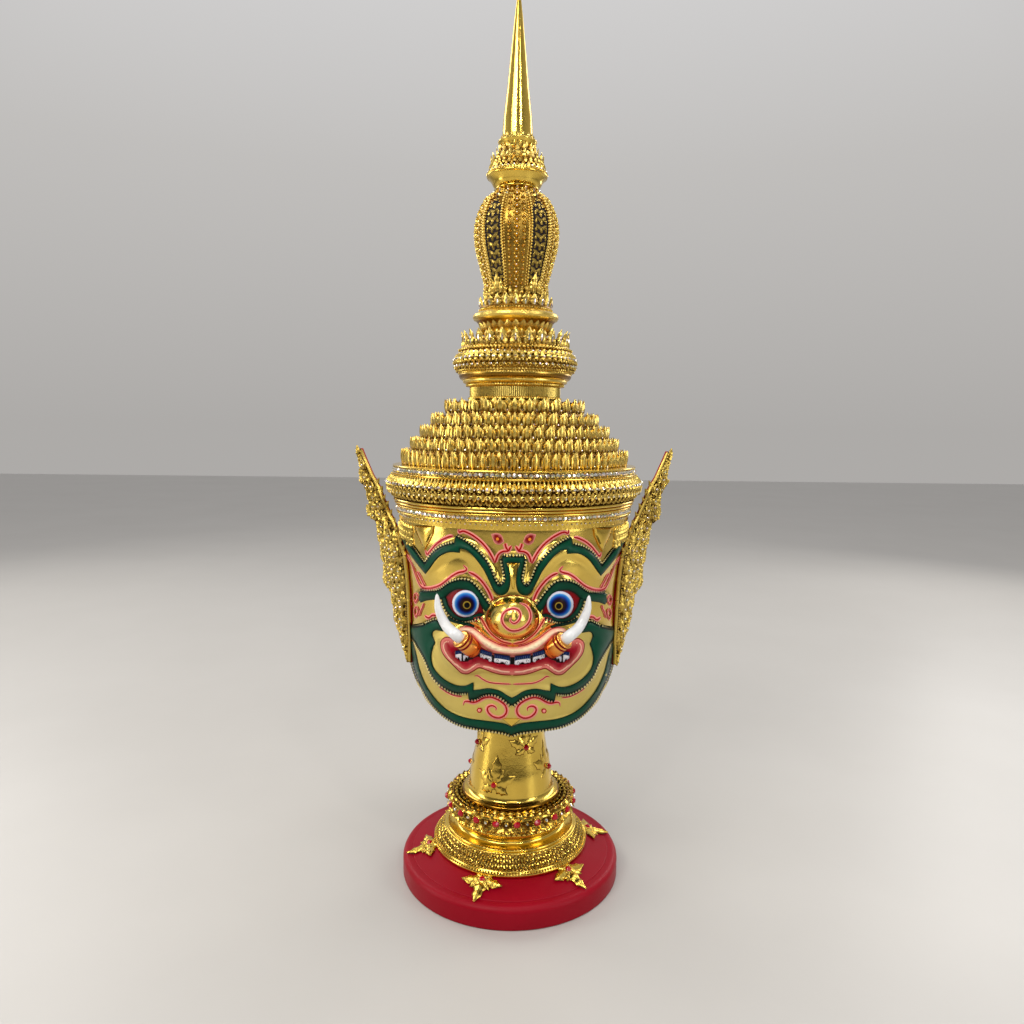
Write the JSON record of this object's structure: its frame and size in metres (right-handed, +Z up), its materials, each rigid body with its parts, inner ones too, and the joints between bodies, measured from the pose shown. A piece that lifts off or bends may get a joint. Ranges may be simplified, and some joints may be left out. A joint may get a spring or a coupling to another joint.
{
  "type": "khon mask on stand",
  "caption": "Hollow gilt ogre dance mask with tusks, flame ears and a tall tiered crown, resting on a turned gilt stand with a round crimson base.",
  "frame": {"origin": "centre of the round base's underside", "axes": "+Z up along the stand and the spire, the face looks along -Y, +X is the viewer's right"},
  "size_m": [0.316, 0.2564, 0.8589],
  "materials": {
    "base_paint": "satin crimson paint on turned wood",
    "stand_gilt": "gold leaf, polished",
    "leaf_gilt": "gilt casting with a red glass gem",
    "mask_gilt": "gold leaf with painted bands under gloss varnish",
    "crown_gilt": "gilt relief set with small clear stones",
    "spire_gilt": "gilt relief, smooth gold leaf on the cone",
    "ear_gilt": "gilt carving with a red painted back",
    "tusk_white": "polished white"
  },
  "bodies": {
    "root": {"base_disc": "base_paint", "stand": "stand_gilt", "foot_leaf_1": "leaf_gilt", "foot_leaf_2": "leaf_gilt", "foot_leaf_3": "leaf_gilt", "foot_leaf_4": "leaf_gilt", "foot_leaf_5": "leaf_gilt", "foot_leaf_6": "leaf_gilt", "mask": "mask_gilt", "crown": "crown_gilt", "spire": "spire_gilt", "ear_left": "ear_gilt", "ear_right": "ear_gilt", "tusk_left": "tusk_white", "tusk_right": "tusk_white"}
  },
  "joints": []
}
